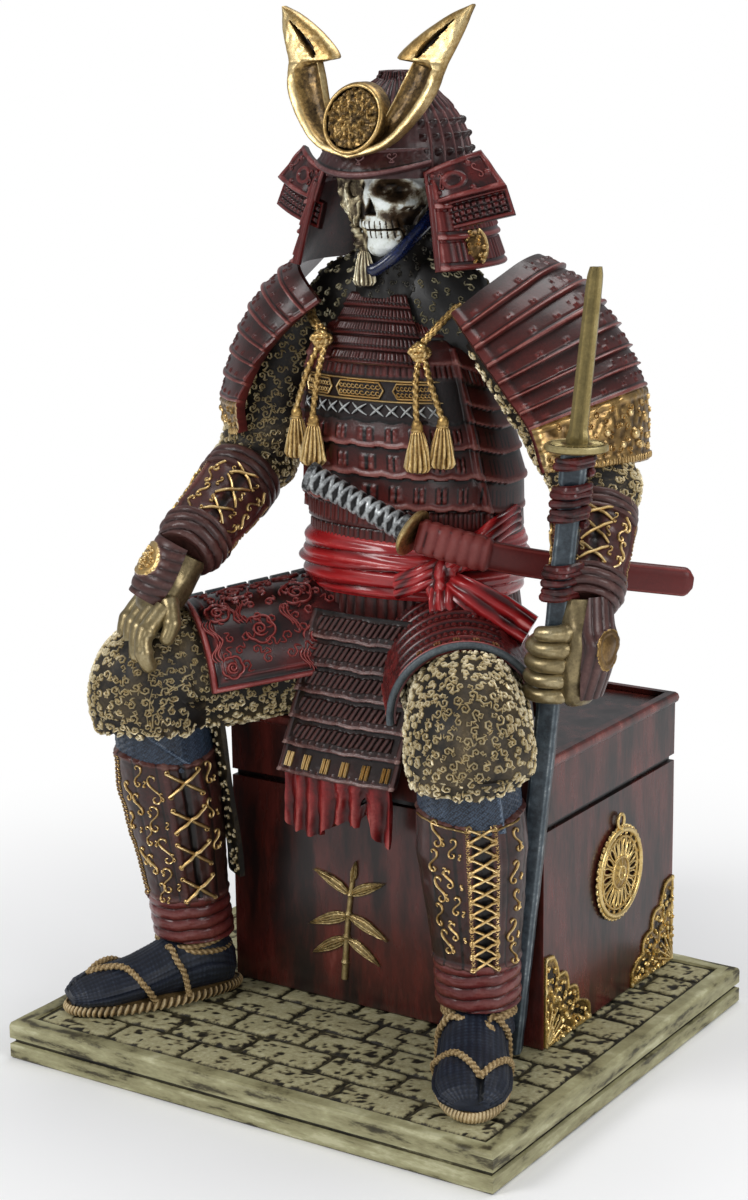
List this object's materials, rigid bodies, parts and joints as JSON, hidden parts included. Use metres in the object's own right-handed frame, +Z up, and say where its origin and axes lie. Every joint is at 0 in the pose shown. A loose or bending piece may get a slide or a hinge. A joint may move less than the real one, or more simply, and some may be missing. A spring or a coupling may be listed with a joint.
{
  "type": "samurai statuette",
  "caption": "Cast resin statuette of an armoured skeleton samurai seated on a lidded chest, holding a pole arm upright, a katana in the sash, on a stone-look plinth.",
  "frame": {"origin": "middle of the plinth's flat underside, on the surface that the statuette stands on", "axes": "+Z up; -Y the side the figure faces; +X towards the figure's own left hand"},
  "size_m": [0.1855, 0.164, 0.3289],
  "materials": {
    "stone_paint": "matt khaki paint with black wash on cast resin",
    "chest_lacquer": "oxblood paint rubbed with black on cast resin",
    "gilt_metal": "antiqued gilt metal",
    "gold_paint": "antique gold paint on cast resin",
    "armour_lacquer": "red-brown paint with black wash and gold rubbed edges",
    "pole_paint": "chipped blue-grey paint",
    "brocade": "black paint with gold rubbed relief scrolls",
    "sock": "indigo woven-look paint",
    "hilt_wrap": "silver-grey and black wrap paint",
    "red_lacquer": "red paint with black wash",
    "sash_red": "glossy red paint",
    "glove_gilt": "bronze-gold paint",
    "bone": "bone white paint with dark wash"
  },
  "bodies": {
    "root": {"stone_plinth": "stone_paint", "chest": "chest_lacquer", "chest_medallion": "gilt_metal", "front_corner_bracket": "gilt_metal", "rear_corner_bracket": "gilt_metal", "chest_emblem": "gold_paint", "torso_armour": "armour_lacquer", "pole_shaft": "pole_paint", "pole_guard": "gold_paint", "pole_blade": "gold_paint", "right_leg": "brocade", "left_leg": "brocade", "right_foot": "sock", "left_foot": "sock", "katana_hilt": "hilt_wrap", "katana_guard": "gold_paint", "katana_scabbard": "red_lacquer", "waist_sash": "sash_red", "front_apron": "armour_lacquer", "apron_cloth": "sash_red", "right_thigh_plate": "red_lacquer", "left_thigh_plate": "red_lacquer", "throat_guard": "armour_lacquer", "right_hand": "glove_gilt", "left_hand": "glove_gilt", "right_sleeve": "brocade", "left_sleeve": "brocade", "right_shoulder_guard": "armour_lacquer", "left_shoulder_guard": "armour_lacquer", "skull": "bone", "helmet": "armour_lacquer", "neck_guard": "armour_lacquer", "helmet_crest": "gold_paint", "right_tassel_cord": "gold_paint", "left_tassel_cord": "gold_paint"}
  },
  "joints": []
}
